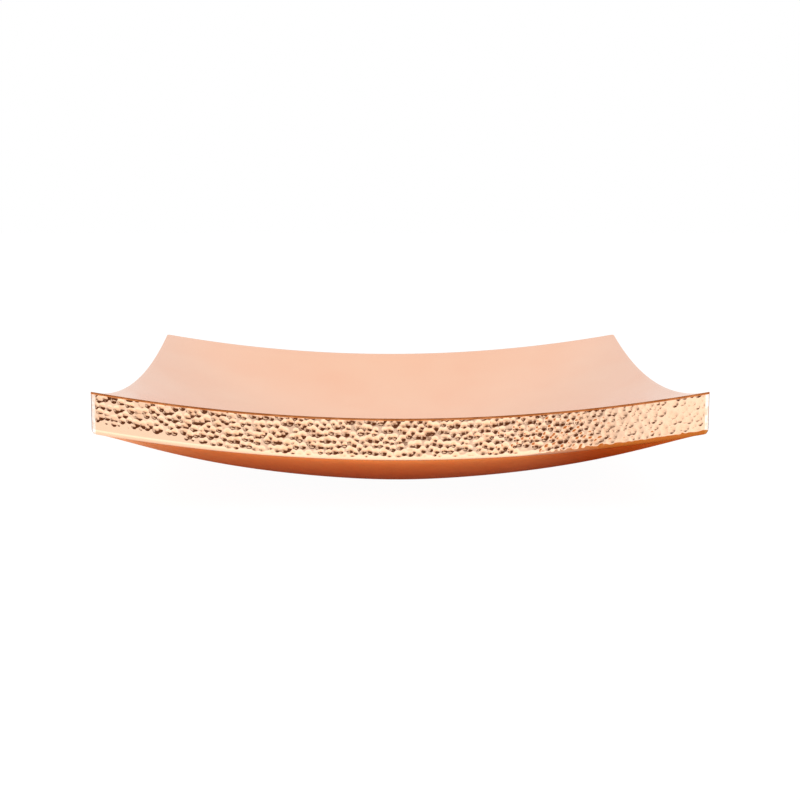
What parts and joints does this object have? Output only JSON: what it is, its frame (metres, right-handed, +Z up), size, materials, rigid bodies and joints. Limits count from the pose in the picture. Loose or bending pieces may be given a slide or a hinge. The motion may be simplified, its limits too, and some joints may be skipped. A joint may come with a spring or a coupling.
{
  "type": "hammered copper tray",
  "caption": "Square double-walled tray with upswept corners, a smooth dished inside, hammered side bands and a rounded belly on a flat base, for serving or display.",
  "frame": {"origin": "middle of the flat base, on the table's plane", "axes": "+Z up, X along the front and back sides towards the right, Y towards the back"},
  "size_m": [0.4, 0.4, 0.08],
  "materials": {
    "polished_copper": "copper, pressed smooth and polished to a satin shine",
    "hammered_copper": "copper, hammered all over with small round pits and polished bright",
    "satin_copper": "copper, smooth and left darker, with a satin surface",
    "braze_metal": "brazing alloy, as laid"
  },
  "bodies": {
    "root": {"dish": "polished_copper", "front_band": "hammered_copper", "right_band": "hammered_copper", "back_band": "hammered_copper", "left_band": "hammered_copper", "front_right_corner": "polished_copper", "back_right_corner": "polished_copper", "back_left_corner": "polished_copper", "front_left_corner": "polished_copper", "belly": "satin_copper", "rim_bead": "braze_metal", "seam_bead": "braze_metal"}
  },
  "joints": []
}
